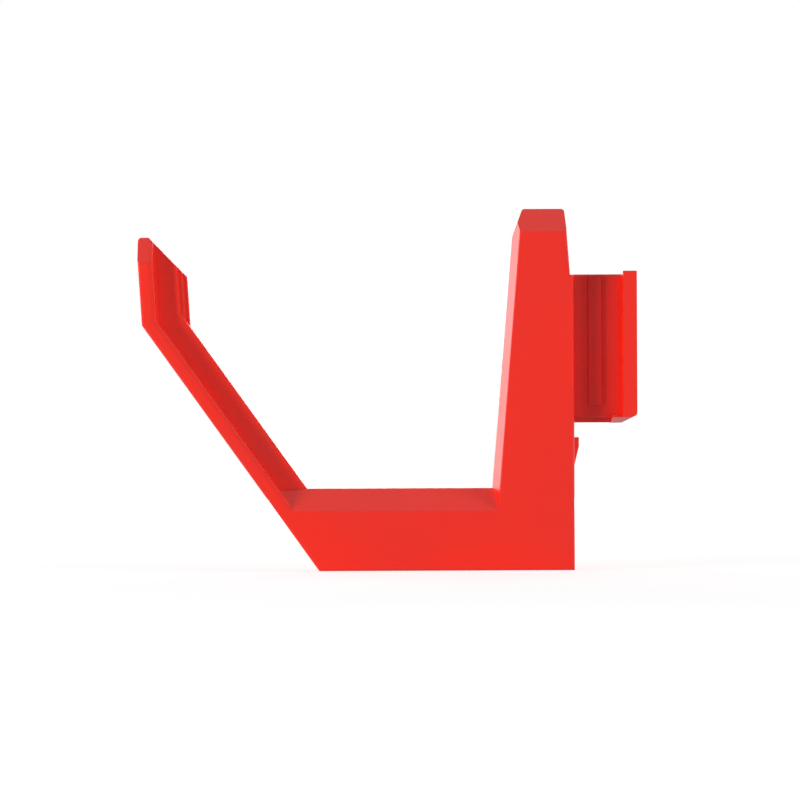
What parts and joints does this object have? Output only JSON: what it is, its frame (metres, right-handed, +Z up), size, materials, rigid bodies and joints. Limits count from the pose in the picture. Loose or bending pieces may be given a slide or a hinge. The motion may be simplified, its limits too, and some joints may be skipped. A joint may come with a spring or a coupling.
{
  "type": "garage utility hook",
  "caption": "Moulded plastic wall hook with a bevelled cradle, slanting arm, upturned tip, tapered upright and a flanged foot that slides into a wall rail.",
  "frame": {"origin": "on the seating plane of the upright's back, at the middle of the hook's width and of the rail foot's height", "axes": "+X back into the wall rail, the arm reaching towards -X; +Y across the hook's width; +Z up"},
  "size_m": [0.1503, 0.022, 0.1091],
  "materials": {
    "red_plastic": "satin moulded"
  },
  "bodies": {
    "root": {"utility_hook": "red_plastic"}
  },
  "joints": []
}
